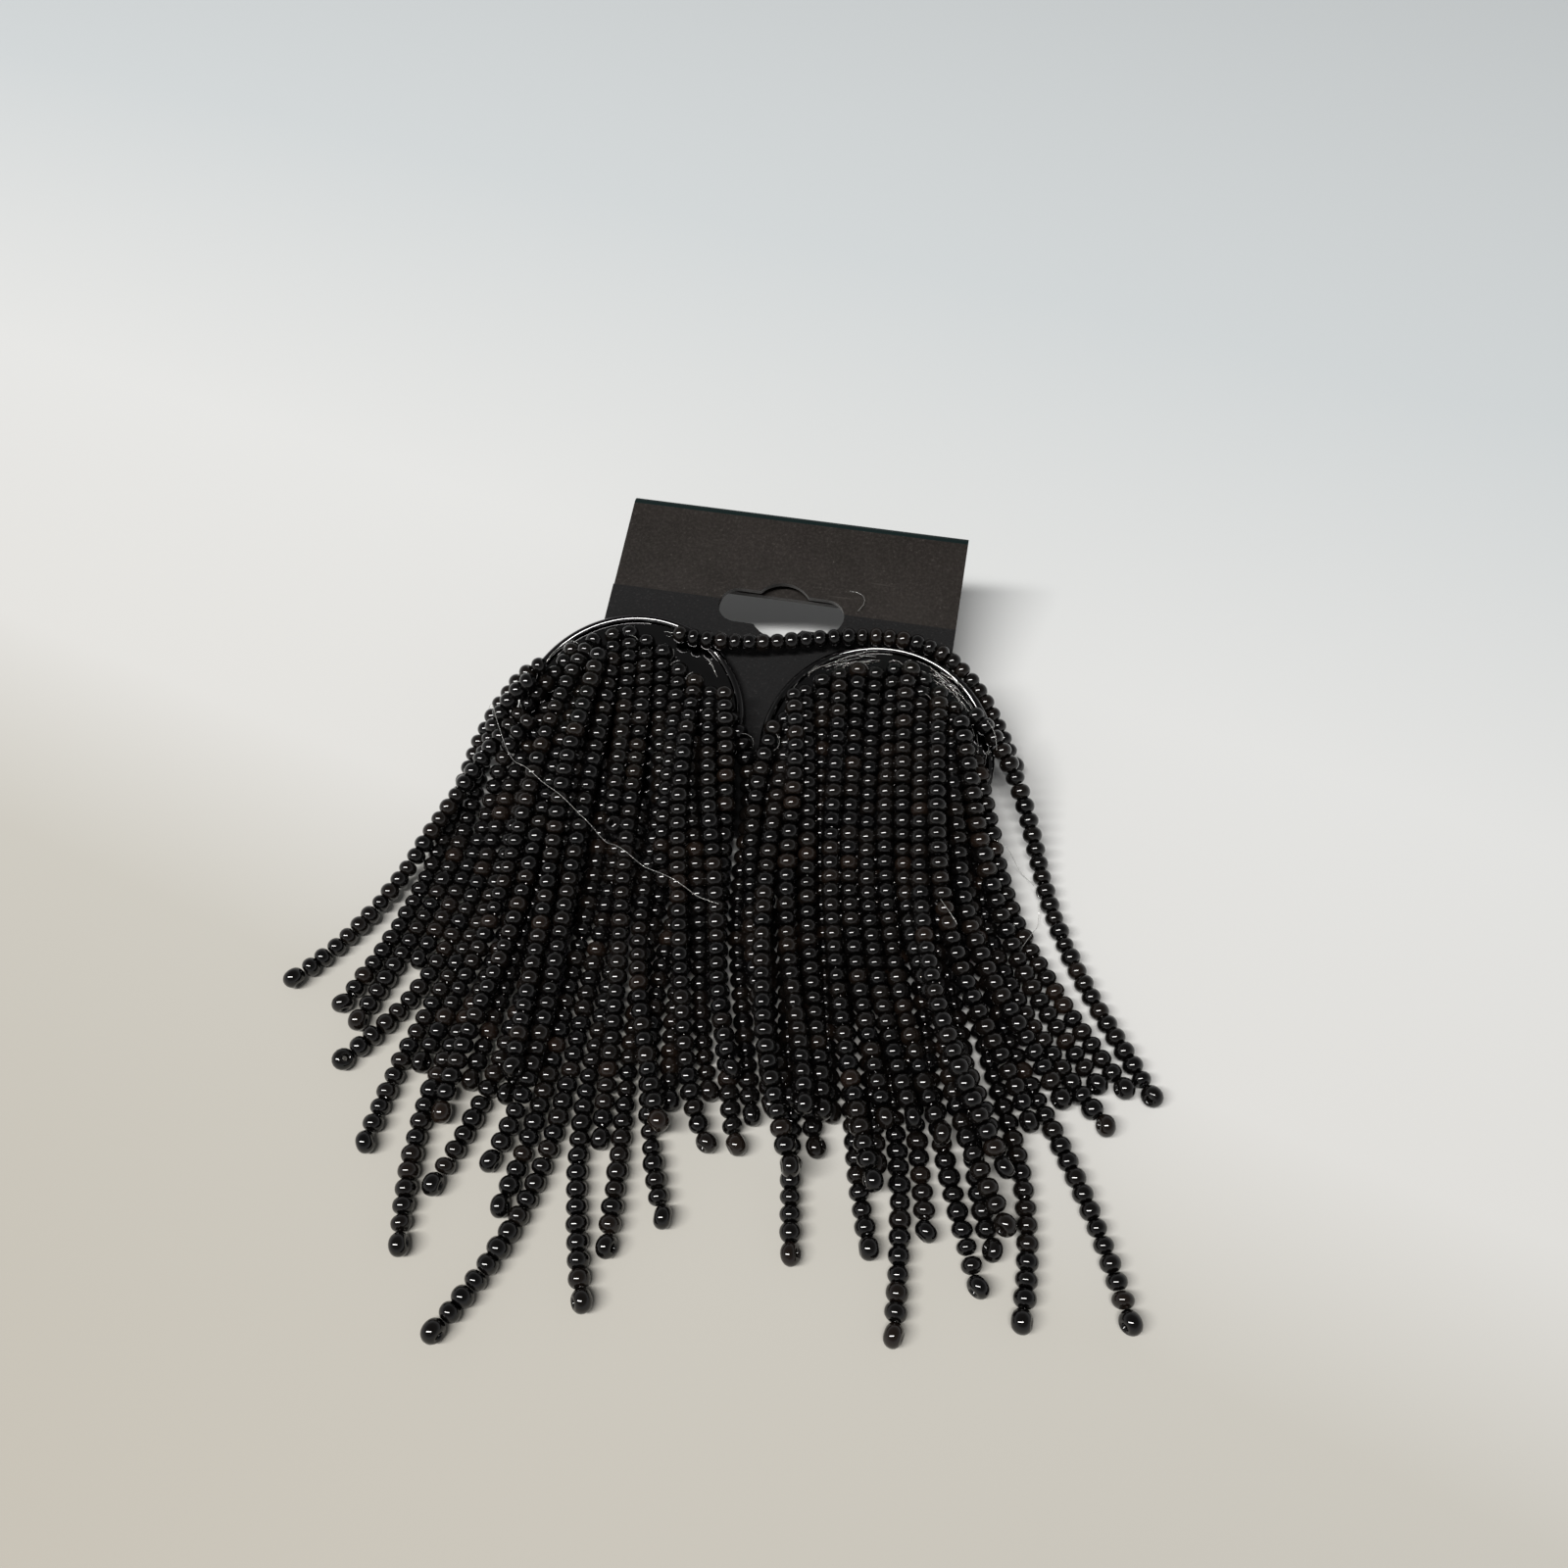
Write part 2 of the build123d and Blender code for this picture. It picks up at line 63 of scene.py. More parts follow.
# Beads
BEAD_RADIUS = 1.24 * MM
BEAD_LENGTH = 1.86 * MM
BEAD_PITCH = 1.90 * MM
BEAD_HOLE = 0.36 * MM
BEAD_SQUARENESS = 2.15
BEAD_SEGMENTS = 16
BEAD_RINGS = 9
SIZE_SPREAD = 0.035
LENGTH_SPREAD = 0.05
TURN_SPREAD = math.radians(5)
PLACE_SPREAD = 0.03 * MM
END_BEAD_SCALE = 1.08
END_TURN_SPREAD = 0.3
BEAD_END_SHARE = 0.16
HOLE_RING_SHARE = 0.8

# Beads near the plates are larger, up to the reach, and less so over the fade
NEAR_SCALE = 1.07
NEAR_REACH = 22 * MM
NEAR_FADE = 18 * MM

STRAND_NODES = {
    "left_lower_beads": "left_lower_strands",
    "left_upper_beads": "left_upper_strands",
    "left_crossing_beads": "left_crossing_strand",
    "right_lower_beads": "right_lower_strands",
    "right_upper_beads": "right_upper_strands",
}

# Stitching thread at the first beads: from its lowest to its highest value
STITCH_RADIUS = 0.035 * MM
BARE_STRANDS = 0.45
LOOP_LIFT = (0.2, 1.2)
LOOP_START = (-0.2, 0.9)
LOOP_TURN = (0.3, 0.7)
LOOP_REACH = (1.03, 1.2)
THREAD_POINTS = 7

# Threads just inside each rim: how many, first and last place round it in degrees
RIM_THREADS = {
    "right_plate": [(26, -12, 62), (16, 80, 145)],
    "left_plate": [(5, 30, 70), (4, 140, 165)],
}

CREST_DEPTH = 0.2 * MM
RIM_REACH = (0.84, 0.97)
RIM_REACH_MOST = 0.99
RIM_DRIFT = (-0.7, 0.7)
RIM_LIFT = (-0.5, 0.3)
RIM_BOW = 0.3 * MM
RIM_STEP = (5, 16)

# Loose fibres seen from above, in millimetres from the card's foot
FIBRE_RADIUS = 0.04 * MM
FIBRE_LIFT = 0.15 * MM
FIBRE_STEP = 0.7 * MM
FIBRE_FALL = 0.1
FIBRES = [
    [(-40.5, 10.8), (-39.4, 12.4), (-37.4, 11.2), (-35.8, 8.2), (-32.2, 2.7), (-25.9, -1.2)]
    + [(-19.8, -4.7), (-11.9, -9.0), (-1.3, -13.3), (0.8, -13.7)],
    [(34.2, 2.7), (39.2, 1.4), (41.3, -3.1), (41.5, -6.6), (39.0, -11.3)],
    [(31.2, 17.6), (32.6, 16.2), (33.0, 13.8)],
    [(9.4, 37.0), (11.1, 37.1), (12.1, 36.4), (12.1, 34.6), (11.1, 33.8)],
    [(28.1, -9.4), (30.5, -12.2)],
]

# Table and light
TABLE_HALF = 1.2
# The table's painted shade runs between these places, slanted so that the painted shadow lies to the
# front left.
TABLE_FRONT = -0.1
TABLE_BACK = 0.16
TABLE_SHADE_SLANT = 0.25
WINDOW_PLACE = (-0.435, -0.525, 1.335)
WINDOW_SIZE = (1.4, 0.19)
WINDOW_WATTS = 37
WINDOW_COLOR = (1, 0.985, 0.965)
ROOM_LIGHT = 0.55
ROOM_SHADES = [(0.0, 1), (0.3, 0.85), (0.6, 0.28), (1.0, 0.13)]


# Materials


def new_material(name, **inputs):
    """Makes a material and sets values on its surface shader."""
    material = bpy.data.materials.new(name)
    material.use_nodes = True
    shader = material.node_tree.nodes["Principled BSDF"]
    for socket, value in inputs.items():
        shader.inputs[socket.replace("_", " ")].default_value = value
    return material


def add_node(material, kind, **settings):
    """Adds a shader node and sets its options or its sockets."""
    node = material.node_tree.nodes.new(kind)
    for name, value in settings.items():
        if hasattr(node, name):
            setattr(node, name, value)
        else:
            node.inputs[name.replace("_", " ")].default_value = value
    return node


def join(material, source, output, target, socket):
    """Links one node's output to another's input."""
    material.node_tree.links.new(source.outputs[output], target.inputs[socket])


def surface(material):
    """Gives the material's surface shader."""
    return material.node_tree.nodes["Principled BSDF"]


def ramp(owner, stops):
    """Adds a colour ramp with the given places and colours to a material or a world."""
    node = owner.node_tree.nodes.new("ShaderNodeValToRGB")
    while len(node.color_ramp.elements) < len(stops):
        node.color_ramp.elements.new(0.5)
    for element, (place, color) in zip(node.color_ramp.elements, stops):
        element.position = place
        element.color = color
    return node


def grey(value):
    """Gives an opaque grey."""
    return (value, value, value, 1)


def add_bump(material, height, output, strength, distance):
    """Bends the surface's light by a height."""
    bump = add_node(material, "ShaderNodeBump", Strength=strength, Distance=distance)
    join(material, height, output, bump, "Height")
    join(material, bump, "Normal", surface(material), "Normal")
    return bump


def bead_material():
    """Glossy black-brown glass, each bead a little different."""
    material = new_material("glass_beads", IOR=1.5)
    each = add_node(material, "ShaderNodeNewGeometry")
    tone = ramp(
        material,
        [
            (0.0, (0.0014, 0.0013, 0.0014, 1)),
            (0.55, (0.0024, 0.0020, 0.0018, 1)),
            (0.88, (0.0046, 0.0034, 0.0027, 1)),
            (1.0, (0.0100, 0.0062, 0.0044, 1)),
        ],
    )
    join(material, each, "Random Per Island", tone, "Fac")
    join(material, tone, "Color", surface(material), "Base Color")
    place = add_node(material, "ShaderNodeTexCoord")
    lumps = add_node(material, "ShaderNodeTexNoise", Scale=750.0, Detail=1.5)
    join(material, place, "Object", lumps, "Vector")
    add_bump(material, lumps, "Fac", 0.02, 0.0003)
    haze = ramp(material, [(0.45, grey(0.025)), (0.8, grey(0.06))])
    join(material, lumps, "Fac", haze, "Fac")
    join(material, haze, "Color", surface(material), "Roughness")
    return material


def plate_material():
    """Polished black nickel with faint wiping marks."""
    material = new_material("plate_metal", Metallic=1.0)
    place = add_node(material, "ShaderNodeTexCoord")
    cloud = add_node(material, "ShaderNodeTexNoise", Scale=160.0, Detail=2.0)
    join(material, place, "Object", cloud, "Vector")
    tone = ramp(material, [(0.3, (0.085, 0.084, 0.086, 1)), (0.8, (0.12, 0.118, 0.117, 1))])
    join(material, cloud, "Fac", tone, "Fac")
    join(material, tone, "Color", surface(material), "Base Color")
    marks = ramp(material, [(0.35, grey(0.03)), (0.8, grey(0.09))])
    join(material, cloud, "Fac", marks, "Fac")
    join(material, marks, "Color", surface(material), "Roughness")
    add_bump(material, cloud, "Fac", 0.03, 0.0003)
    return material


def nut_material():
    """Plain grey metal with fine turning marks."""
    material = new_material("nut_metal", Metallic=1.0, Roughness=0.3)
    place = add_node(material, "ShaderNodeTexCoord")
    grain = add_node(material, "ShaderNodeTexNoise", Scale=2500.0, Detail=3.0)
    join(material, place, "Object", grain, "Vector")
    tone = ramp(material, [(0.3, (0.32, 0.31, 0.30, 1)), (0.8, (0.46, 0.45, 0.43, 1))])
    join(material, grain, "Fac", tone, "Fac")
    join(material, tone, "Color", surface(material), "Base Color")
    add_bump(material, grain, "Fac", 0.1, 0.0001)
    return material


def mix_colors(material, factor, output, first, second):
    """Mixes two colours, each a fixed one or a node's, and gives the mixing node's result."""
    mix = add_node(material, "ShaderNodeMix", data_type="RGBA")
    join(material, factor, output, mix, "Factor")
    sockets = {socket.name: socket for socket in mix.inputs if socket.type == "RGBA"}
    for name, color in (("A", first), ("B", second)):
        if isinstance(color, tuple):
            sockets[name].default_value = color
        else:
            material.node_tree.links.new(color, sockets[name])
    return [socket for socket in mix.outputs if socket.type == "RGBA"][0]


def card_material():
    """Satin brown-black plastic with dust and scratches, a painted dark greenish reflection on its fold
    and a painted pale highlight on its downward-facing edges.
    """
    material = new_material("card_plastic", IOR=1.5, Specular_IOR_Level=0.14)
    place = add_node(material, "ShaderNodeTexCoord")
    cloud = add_node(material, "ShaderNodeTexNoise", Scale=90.0, Detail=5.0, Roughness=0.6)
    join(material, place, "Object", cloud, "Vector")
    base = ramp(material, [(0.35, (0.0075, 0.0057, 0.0046, 1)), (0.75, (0.0125, 0.0098, 0.0082, 1))])
    join(material, cloud, "Fac", base, "Fac")
    dust = add_node(material, "ShaderNodeTexNoise", Scale=2400.0, Detail=3.0, Roughness=0.75)
    join(material, place, "Object", dust, "Vector")
    specks = ramp(material, [(0.42, grey(0)), (0.62, grey(0.13)), (0.70, grey(0.3)), (0.76, grey(1))])
    join(material, dust, "Fac", specks, "Fac")
    stretch = add_node(material, "ShaderNodeMapping", Rotation=(0, 0, 0.5), Scale=(60, 1500, 60))
    join(material, place, "Object", stretch, "Vector")
    lines = add_node(material, "ShaderNodeTexNoise", Scale=1.0, Detail=2.0)
    join(material, stretch, "Vector", lines, "Vector")
    scratches = ramp(material, [(0.70, grey(0)), (0.78, grey(0.35))])
    join(material, lines, "Fac", scratches, "Fac")
    marks = add_node(material, "ShaderNodeMath", operation="MAXIMUM")
    join(material, specks, "Color", marks, 0)
    join(material, scratches, "Color", marks, 1)
    face = mix_colors(material, marks, "Value", base.outputs["Color"], (0.070, 0.062, 0.056, 1))
    upward = add_node(material, "ShaderNodeVectorMath", operation="DOT_PRODUCT")
    upward.inputs[1].default_value = (0, math.cos(CARD_TILT), math.sin(CARD_TILT))
    join(material, place, "Normal", upward, 0)
    # Painted shade and reflection: faces turned up over the fold are made darker and greenish.
    painted_fold_mask = ramp(material, [(0.06, grey(0)), (0.09, grey(1))])
    join(material, upward, "Value", painted_fold_mask, "Fac")
    face_with_painted_fold = mix_colors(material, painted_fold_mask, "Color", face, (0.0030, 0.0085, 0.0085, 1))
    downward = add_node(material, "ShaderNodeMath", operation="MULTIPLY")
    downward.inputs[1].default_value = -1
    join(material, upward, "Value", downward, 0)
    # Painted highlight: faces turned downward, such as the upper wall of the hang hole and the bottom
    # edge, are made pale.
    painted_edge_highlight_mask = ramp(material, [(0.3, grey(0)), (0.5, grey(0.85))])
    join(material, downward, "Value", painted_edge_highlight_mask, "Fac")
    face_with_edge_highlight = mix_colors(material, painted_edge_highlight_mask, "Color", face_with_painted_fold, (0.16, 0.155, 0.15, 1))
    material.node_tree.links.new(face_with_edge_highlight, surface(material).inputs["Base Color"])
    rough = ramp(material, [(0.3, grey(0.46)), (0.8, grey(0.56))])
    join(material, cloud, "Fac", rough, "Fac")
    join(material, rough, "Color", surface(material), "Roughness")
    add_bump(material, cloud, "Fac", 0.05, 0.0003)
    return material


def flock_material():
    """Short black velvety fibres with a little lint."""
    material = new_material("flock", Roughness=0.95, Sheen_Weight=0.15, Sheen_Roughness=0.5, IOR=1.35)
    place = add_node(material, "ShaderNodeTexCoord")
    pile = add_node(material, "ShaderNodeTexNoise", Scale=2600.0, Detail=3.0, Roughness=0.7)
    join(material, place, "Object", pile, "Vector")
    tone = ramp(
        material,
        [
            (0.3, (0.0012, 0.0012, 0.0015, 1)),
            (0.62, (0.0038, 0.0036, 0.0039, 1)),
            (0.8, (0.035, 0.033, 0.032, 1)),
        ],
    )
    join(material, pile, "Fac", tone, "Fac")
    join(material, tone, "Color", surface(material), "Base Color")
    add_bump(material, pile, "Fac", 0.6, 0.0002)
    return material


def thread_material():
    """Clear nylon."""
    material = new_material("clear_thread", Roughness=0.12, IOR=1.5, Transmission_Weight=0.85)
    surface(material).inputs["Base Color"].default_value = (0.82, 0.82, 0.80, 1)
    place = add_node(material, "ShaderNodeTexCoord")
    twist = add_node(material, "ShaderNodeTexNoise", Scale=3000.0, Detail=1.0)
    join(material, place, "Object", twist, "Vector")
    add_bump(material, twist, "Fac", 0.1, 0.00005)
    return material


def table_material():
    """Smooth pale board with painted light: darker and warmer in front and to the left under a painted
    shadow, a little darker and cooler at the back from a painted falloff of light.
    """
    material = new_material("table", Roughness=0.55, IOR=1.4)
    place = add_node(material, "ShaderNodeTexCoord")
    axes = add_node(material, "ShaderNodeSeparateXYZ")
    join(material, place, "Object", axes, "Vector")
    shade_slant = add_node(material, "ShaderNodeMath", operation="MULTIPLY_ADD")
    shade_slant.inputs[1].default_value = TABLE_SHADE_SLANT
    join(material, axes, "X", shade_slant, 0)
    join(material, axes, "Y", shade_slant, 2)
    reach = add_node(material, "ShaderNodeMapRange")
    reach.inputs["From Min"].default_value = TABLE_FRONT
    reach.inputs["From Max"].default_value = TABLE_BACK
    join(material, shade_slant, "Value", reach, "Value")
    # Painted shade: the ramp darkens and warms the front left as a painted shadow and dims the back a
    # little as a painted falloff of light.
    tone = ramp(
        material,
        [
            (0.0, (0.325, 0.305, 0.264, 1)),
            (0.26, (0.400, 0.388, 0.354, 1)),
            (0.38, (0.52, 0.519, 0.508, 1)),
            (0.6, (0.555, 0.562, 0.560, 1)),
            (1.0, (0.495, 0.525, 0.54, 1)),
        ],
    )
    join(material, reach, "Result", tone, "Fac")
    join(material, tone, "Color", surface(material), "Base Color")
    return material


# Strands


def strand_lines(node):
    """Gives the middle line of each tube of a CAD node, from its plate to its free end."""
    mesh = node.data
    corners = np.empty(len(mesh.vertices) * 3)
    mesh.vertices.foreach_get("co", corners)
    corners = corners.reshape(-1, 3)
    mesh.calc_loop_triangles()
    faces = np.empty(len(mesh.loop_triangles) * 3, int)
    mesh.loop_triangles.foreach_get("vertices", faces)
    places, merged = np.unique(np.round(corners, 7), axis=0, return_inverse=True)
    faces = merged.reshape(-1)[faces].reshape(-1, 3)
    lines = []
    for island in islands(faces, len(places)):
        lines.append(middle_line(places[faces[island]]))
    return lines


def islands(faces, count):
    """Groups faces that are joined through their corners."""
    label = np.arange(count)
    while True:
        lowest = label[faces].min(1)
        before = label.copy()
        for corner in range(3):
            np.minimum.at(label, faces[:, corner], lowest)
        label = label[label]
        if (label == before).all():
            break
    owner = label[faces[:, 0]]
    return [np.nonzero(owner == name)[0] for name in np.unique(owner)]


def middle_line(triangles):
    """Gives points along the middle of one tube, from its flat ends and its side faces."""
    edges = np.cross(triangles[:, 1] - triangles[:, 0], triangles[:, 2] - triangles[:, 0])
    area = np.linalg.norm(edges, axis=1) / 2
    normals = edges / (2 * area[:, None] + 1e-30)
    middles = triangles.mean(1)
    planes = np.column_stack([normals, (normals * middles).sum(1) / MM])
    owner = np.unique(np.round(planes, 2), axis=0, return_inverse=True)[1].reshape(-1)
    caps = np.argsort(-np.bincount(owner, area))[:2]
    ends = [np.average(middles[owner == cap], axis=0, weights=area[owner == cap]) for cap in caps]
    radius = math.sqrt(area[owner == caps[0]].sum() / math.pi)
    sides = (owner != caps[0]) & (owner != caps[1])
    inner = middles[sides] - radius * normals[sides]
    start, finish = sorted(ends, key=lambda end: -end[2])
    reach = np.linalg.norm(inner - start, axis=1)
    stations = [start]
    for low in np.arange(STATION, np.linalg.norm(finish - start) - STATION, STATION):
        near = abs(reach - low) < STATION
        if near.any():
            stations.append(np.average(inner[near], axis=0, weights=area[sides][near]))
    line = np.array(stations + [finish])
    for turn in range(SMOOTHINGS):
        line[1:-1] = (line[:-2] + 2 * line[1:-1] + line[2:]) / 4
    return line


def along(line, distances):
    """Gives the points at given distances along a line."""
    runs = np.concatenate([[0], np.cumsum(np.linalg.norm(np.diff(line, axis=0), axis=1))])
    return np.stack([np.interp(distances, runs, line[:, axis]) for axis in range(3)], -1), runs[-1]


def bead_template():
    """Gives the corners and faces of one seed bead, whose hole runs along X."""
    turns = np.linspace(0, 2 * math.pi, BEAD_SEGMENTS, endpoint=False)
    lean = np.linspace(BEAD_END_SHARE, 1 - BEAD_END_SHARE, BEAD_RINGS) * math.pi
    power = 2 / BEAD_SQUARENESS
    across = -np.sign(np.cos(lean)) * abs(np.cos(lean)) ** power
    across *= BEAD_LENGTH / 2 / across.max()
    out = np.sin(lean) ** power * BEAD_RADIUS
    across = np.concatenate([across, [across[-1] * HOLE_RING_SHARE, across[0] * HOLE_RING_SHARE]])
    out = np.concatenate([out, [BEAD_HOLE, BEAD_HOLE]])
    rings = len(out)
    corners = np.stack(
        [
            np.repeat(across, BEAD_SEGMENTS),
            (out[:, None] * np.cos(turns)).ravel(),
            (out[:, None] * np.sin(turns)).ravel(),
        ],
        -1,
    )
    faces = []
    for ring in range(rings):
        for step in range(BEAD_SEGMENTS):
            after = (step + 1) % BEAD_SEGMENTS
            here = ring * BEAD_SEGMENTS
            there = (ring + 1) % rings * BEAD_SEGMENTS
            faces.append((here + step, there + step, there + after, here + after))
    return corners, np.array(faces)


def frame_along(direction):
    """Gives a turn that takes X to a direction, with a chance roll about it."""
    axis = direction / np.linalg.norm(direction)
    side = np.cross(axis, chance.normal(size=3))
    side /= np.linalg.norm(side)
    return np.column_stack([axis, side, np.cross(axis, side)])


def near_scale(distance):
    """Gives how much larger the beads are at a distance from the plate."""
    share = np.clip((NEAR_REACH + NEAR_FADE - distance) / NEAR_FADE, 0, 1)
    return 1 + (NEAR_SCALE - 1) * share


def bead_places(length):
    """Gives the distances of the beads from the plate, with room for the end bead."""
    room = length - 2 * BEAD_RADIUS * END_BEAD_SCALE
    edges = [0.0]
    while edges[-1] < room - BEAD_PITCH / 2:
        edges.append(edges[-1] + BEAD_PITCH * near_scale(edges[-1]))
    edges = np.array(edges) * room / edges[-1]
    places = (edges[:-1] + edges[1:]) / 2 + chance.normal(0, PLACE_SPREAD, len(edges) - 1)
    return np.append(places, length - BEAD_RADIUS * END_BEAD_SCALE)


def bead_string(line, template):
    """Gives the corners of the beads threaded on one line."""
    distances = bead_places(along(line, [0])[1])
    middles = along(line, distances)[0]
    ahead = along(line, distances + 0.5 * BEAD_PITCH)[0] - along(line, distances - 0.5 * BEAD_PITCH)[0]
    last = len(middles) - 1
    beads = []
    for number, (middle, direction) in enumerate(zip(middles, ahead)):
        wobble = direction / np.linalg.norm(direction) + chance.normal(0, TURN_SPREAD, 3)
        if number == last:
            wobble = np.cross(direction, (0, 0, 1))
            wobble += chance.normal(0, END_TURN_SPREAD, 3) * np.linalg.norm(direction)
        scale = near_scale(distances[number]) * (1 + chance.normal(0, SIZE_SPREAD))
        if number == last:
            scale = END_BEAD_SCALE
        stretch = np.array([1 + chance.normal(0, LENGTH_SPREAD), 1, 1]) * scale
        bead = (template * stretch) @ frame_along(wobble).T + middle
        bead[:, 2] += max(0, -bead[:, 2].min())
        beads.append(bead)
    return beads, middles


def build_mesh(name, corners, faces):
    """Makes a smooth mesh piece."""
    mesh = bpy.data.meshes.new(name)
    mesh.from_pydata(corners.tolist(), [], faces.tolist())
    mesh.polygons.foreach_set("use_smooth", [True] * len(mesh.polygons))
    mesh.update()
    piece = bpy.data.objects.new(name, mesh)
    bpy.context.collection.objects.link(piece)
    return piece


def build_beads(name, node, material):
    """Makes the seed beads of one group of strands in place of its tubes."""
    template, faces = bead_template()
    beads = []
    threads = []
    for line in strand_lines(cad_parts[node]):
        string, middles = bead_string(line, template)
        beads += string
        threads.append(middles)
    corners = np.concatenate(beads)
    offsets = np.arange(len(beads))[:, None, None] * len(template)
    piece = build_mesh(name, corners, (faces[None] + offsets).reshape(-1, 4))
    piece.data.materials.append(material)
    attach(piece, "root")
    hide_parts(node)
    return piece, threads


def build_threads(name, lines, radius, material):
    """Makes thin clear threads along lines."""
    curve = bpy.data.curves.new(name, "CURVE")
    curve.dimensions = "3D"
    curve.bevel_depth = radius
    curve.bevel_resolution = 1
    curve.resolution_u = 3
    for line in lines:
        spline = curve.splines.new("NURBS")
        spline.points.add(len(line) - 1)
        for point, place in zip(spline.points, line):
            point.co = (*place, 1)
        spline.order_u = 3
        spline.use_endpoint_u = True
    piece = bpy.data.objects.new(name, curve)
    bpy.context.collection.objects.link(piece)
    piece.data.materials.append(material)
    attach(piece, "root")
    return piece


def card_axes():
    """Gives the directions up the card and off its face."""
    up = np.array((0, math.cos(CARD_TILT), math.sin(CARD_TILT)))
    off = np.array((0, -math.sin(CARD_TILT), math.cos(CARD_TILT)))
    return up, off


def stitch_loops(lines):
    """Gives part loops of thread beside the first beads of some strands."""
    off = card_axes()[1]
    loops = []
    for line in lines:
        if chance.random() < BARE_STRANDS:
            continue
        ahead = (line[2] - line[0]) / np.linalg.norm(line[2] - line[0])
        side = np.cross(ahead, off)
        middle = line[0] + chance.integers(0, 3) * BEAD_PITCH * ahead
        back = chance.uniform(*LOOP_LIFT) * off - ahead
        back /= np.linalg.norm(back)
        start = chance.uniform(*LOOP_START) * math.pi
        turns = np.linspace(start, start + chance.uniform(*LOOP_TURN) * math.pi, THREAD_POINTS)
        reach = BEAD_RADIUS * NEAR_SCALE * chance.uniform(*LOOP_REACH)
        loops.append([middle + reach * (math.cos(turn) * side + math.sin(turn) * back) for turn in turns])
    return loops


def rim_threads(node, spans):
    """Gives short bent threads just inside the rim of a plate."""
    up, off = card_axes()
    corners = np.array([corner.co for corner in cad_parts[node].data.vertices])
    heights = corners @ off
    crest = corners[heights > heights.max() - CREST_DEPTH]
    middle = (crest.min(0) + crest.max(0)) / 2
    radius = (crest[:, 0].max() - crest[:, 0].min()) / 2
    threads = []
    for count, first, last in spans:
        for start in chance.uniform(first, last, count):
            reach = radius * chance.uniform(*RIM_REACH)
            drift = chance.uniform(*RIM_DRIFT) * MM
            lift = chance.uniform(*RIM_LIFT) * MM
            line = []
            for share in np.linspace(0, 1, THREAD_POINTS):
                turn = math.radians(start + share * chance.uniform(*RIM_STEP))
                out = min(reach + drift * share**2, RIM_REACH_MOST * radius)
                round_rim = np.array((math.cos(turn), 0, 0)) + math.sin(turn) * up
                line.append(middle + out * round_rim + (lift + RIM_BOW * math.sin(math.pi * share)) * off)
            threads.append(line)
    return threads


def card_foot():
    """Gives the middle of the bottom edge of the card's back."""
    low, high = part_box("card")
    return Vector(((low.x + high.x) / 2, low.y + LEAF_THICKNESS * math.sin(CARD_TILT), 0))


def lay_fibre(points):
    """Gives a fibre that lies on whatever is below its points."""
    foot = card_foot()
    plan = np.array(points) * MM + np.array(foot.xy)
    runs = np.concatenate([[0], np.cumsum(np.linalg.norm(np.diff(plan, axis=0), axis=1))])
    places = np.linspace(0, runs[-1], max(5, int(runs[-1] / FIBRE_STEP)))
    plan = np.stack([np.interp(places, runs, plan[:, axis]) for axis in (0, 1)], -1)
    for turn in range(SMOOTHINGS):
        plan[1:-1] = (plan[:-2] + 2 * plan[1:-1] + plan[2:]) / 4
    view = bpy.context.evaluated_depsgraph_get()
    heights = []
    for x, y in plan:
        hit = bpy.context.scene.ray_cast(view, Vector((x, y, FIBRE_FALL)), Vector((0, 0, -1)))
        heights.append(max(0, hit[1].z))
    heights = np.array(heights)
    wide = np.array([heights[max(0, place - 2) : place + 3].max() for place in range(len(heights))])
    for turn in range(SMOOTHINGS):
        wide[1:-1] = (wide[:-2] + 2 * wide[1:-1] + wide[2:]) / 4
    return np.column_stack([plan, wide + FIBRE_LIFT])


# Camera and light


def build_camera():
    """Places the camera where the photograph was taken."""
    foot = card_foot()
    forward = CAMERA_FORWARD.normalized()
    right = (CAMERA_RIGHT - CAMERA_RIGHT.dot(forward) * forward).normalized()
    up = right.cross(forward)
    turn = Matrix((right, up, -forward)).transposed().to_4x4()
    camera = bpy.data.objects.new("camera", bpy.data.cameras.new("camera"))
    camera.data.sensor_width = SENSOR_WIDTH
    camera.data.lens = SENSOR_WIDTH * FIELD_RATIO
    camera.data.clip_start = 1 * MM
    camera.matrix_world = Matrix.Translation(foot + CAMERA_FROM_FOOT) @ turn
    bpy.context.collection.objects.link(camera)
    bpy.context.scene.camera = camera


def add_light(name, place, wide, size, power, color):
    """Adds a rectangular lamp that faces the middle of the table, its long side along a direction."""
    lamp = bpy.data.lights.new(name, "AREA")
    lamp.shape = "RECTANGLE"
    lamp.size, lamp.size_y = size
    lamp.energy = power
    lamp.color = color
    holder = bpy.data.objects.new(name, lamp)
    back = Vector(place).normalized()
    side = (Vector(wide) - Vector(wide).dot(back) * back).normalized()
    turn = Matrix((side, back.cross(side), back)).transposed().to_4x4()
    holder.matrix_world = Matrix.Translation(place) @ turn
    bpy.context.collection.objects.link(holder)


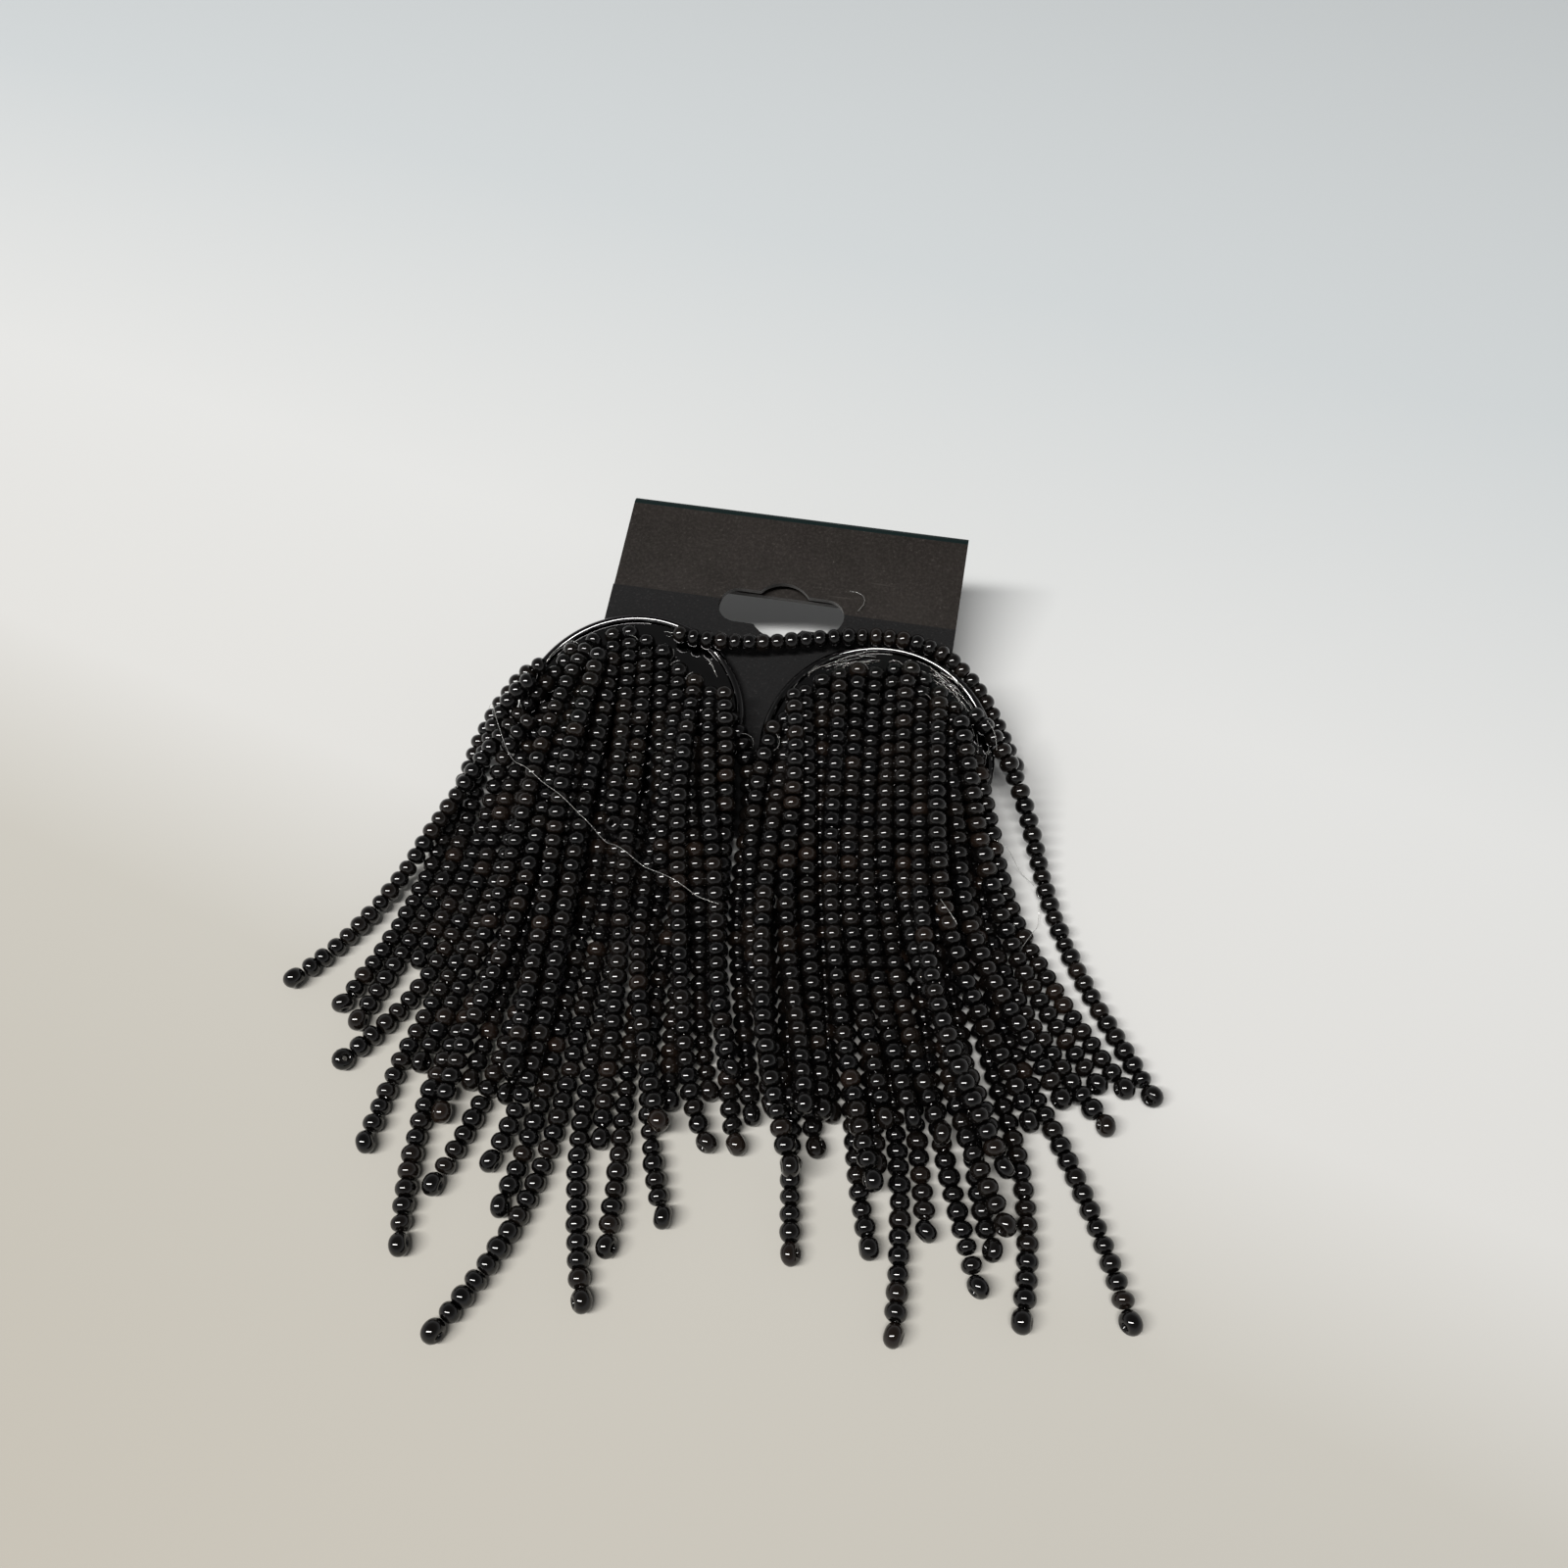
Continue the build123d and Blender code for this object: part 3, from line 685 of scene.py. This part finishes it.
def build_world():
    """Makes a room that is light all round and dim overhead."""
    world = bpy.data.worlds.new("studio")
    world.use_nodes = True
    nodes = world.node_tree.nodes
    place = nodes.new("ShaderNodeTexCoord")
    axes = nodes.new("ShaderNodeSeparateXYZ")
    shade = ramp(world, [(height, grey(value)) for height, value in ROOM_SHADES])
    back = nodes["Background"]
    back.inputs["Strength"].default_value = ROOM_LIGHT
    world.node_tree.links.new(place.outputs["Generated"], axes.inputs["Vector"])
    world.node_tree.links.new(axes.outputs["Z"], shade.inputs["Fac"])
    world.node_tree.links.new(shade.outputs["Color"], back.inputs["Color"])
    return world


def build_stage():
    """Makes the table and the soft studio light."""
    signs = np.array([(-1, -1, 0), (1, -1, 0), (1, 1, 0), (-1, 1, 0)])
    corners = TABLE_HALF * signs
    table = build_mesh("table", corners, np.array([(0, 1, 2, 3)]))
    table.data.materials.append(table_material())
    add_light("window", WINDOW_PLACE, CAMERA_RIGHT, WINDOW_SIZE, WINDOW_WATTS, WINDOW_COLOR)
    bpy.context.scene.world = build_world()
    bpy.context.scene.view_settings.view_transform = "Standard"


def dress_frame():
    """Gives the CAD pieces that stay their materials."""
    plate = plate_material()
    nut = nut_material()
    looks = {
        "card": card_material(),
        "card_flock": flock_material(),
        "left_plate": plate,
        "right_plate": plate,
        "left_ear_nut": nut,
        "right_ear_nut": nut,
    }
    for node, material in looks.items():
        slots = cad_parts[node].data.materials
        slots.clear()
        slots.append(material)


build_camera()
build_stage()
dress_frame()
glass = bead_material()
nylon = thread_material()
sewn = []
for piece_name, strand_node in STRAND_NODES.items():
    beads, strings = build_beads(piece_name, strand_node, glass)
    print(piece_name, "beads", len(beads.data.vertices), "strings", len(strings))
    if "upper" in piece_name:
        sewn += strings
stitches = stitch_loops(sewn)
for plate_node, rim_spans in RIM_THREADS.items():
    stitches += rim_threads(plate_node, rim_spans)
build_threads("stitches", stitches, STITCH_RADIUS, nylon)
bpy.context.view_layer.update()
build_threads("loose_fibres", [lay_fibre(points) for points in FIBRES], FIBRE_RADIUS, nylon)
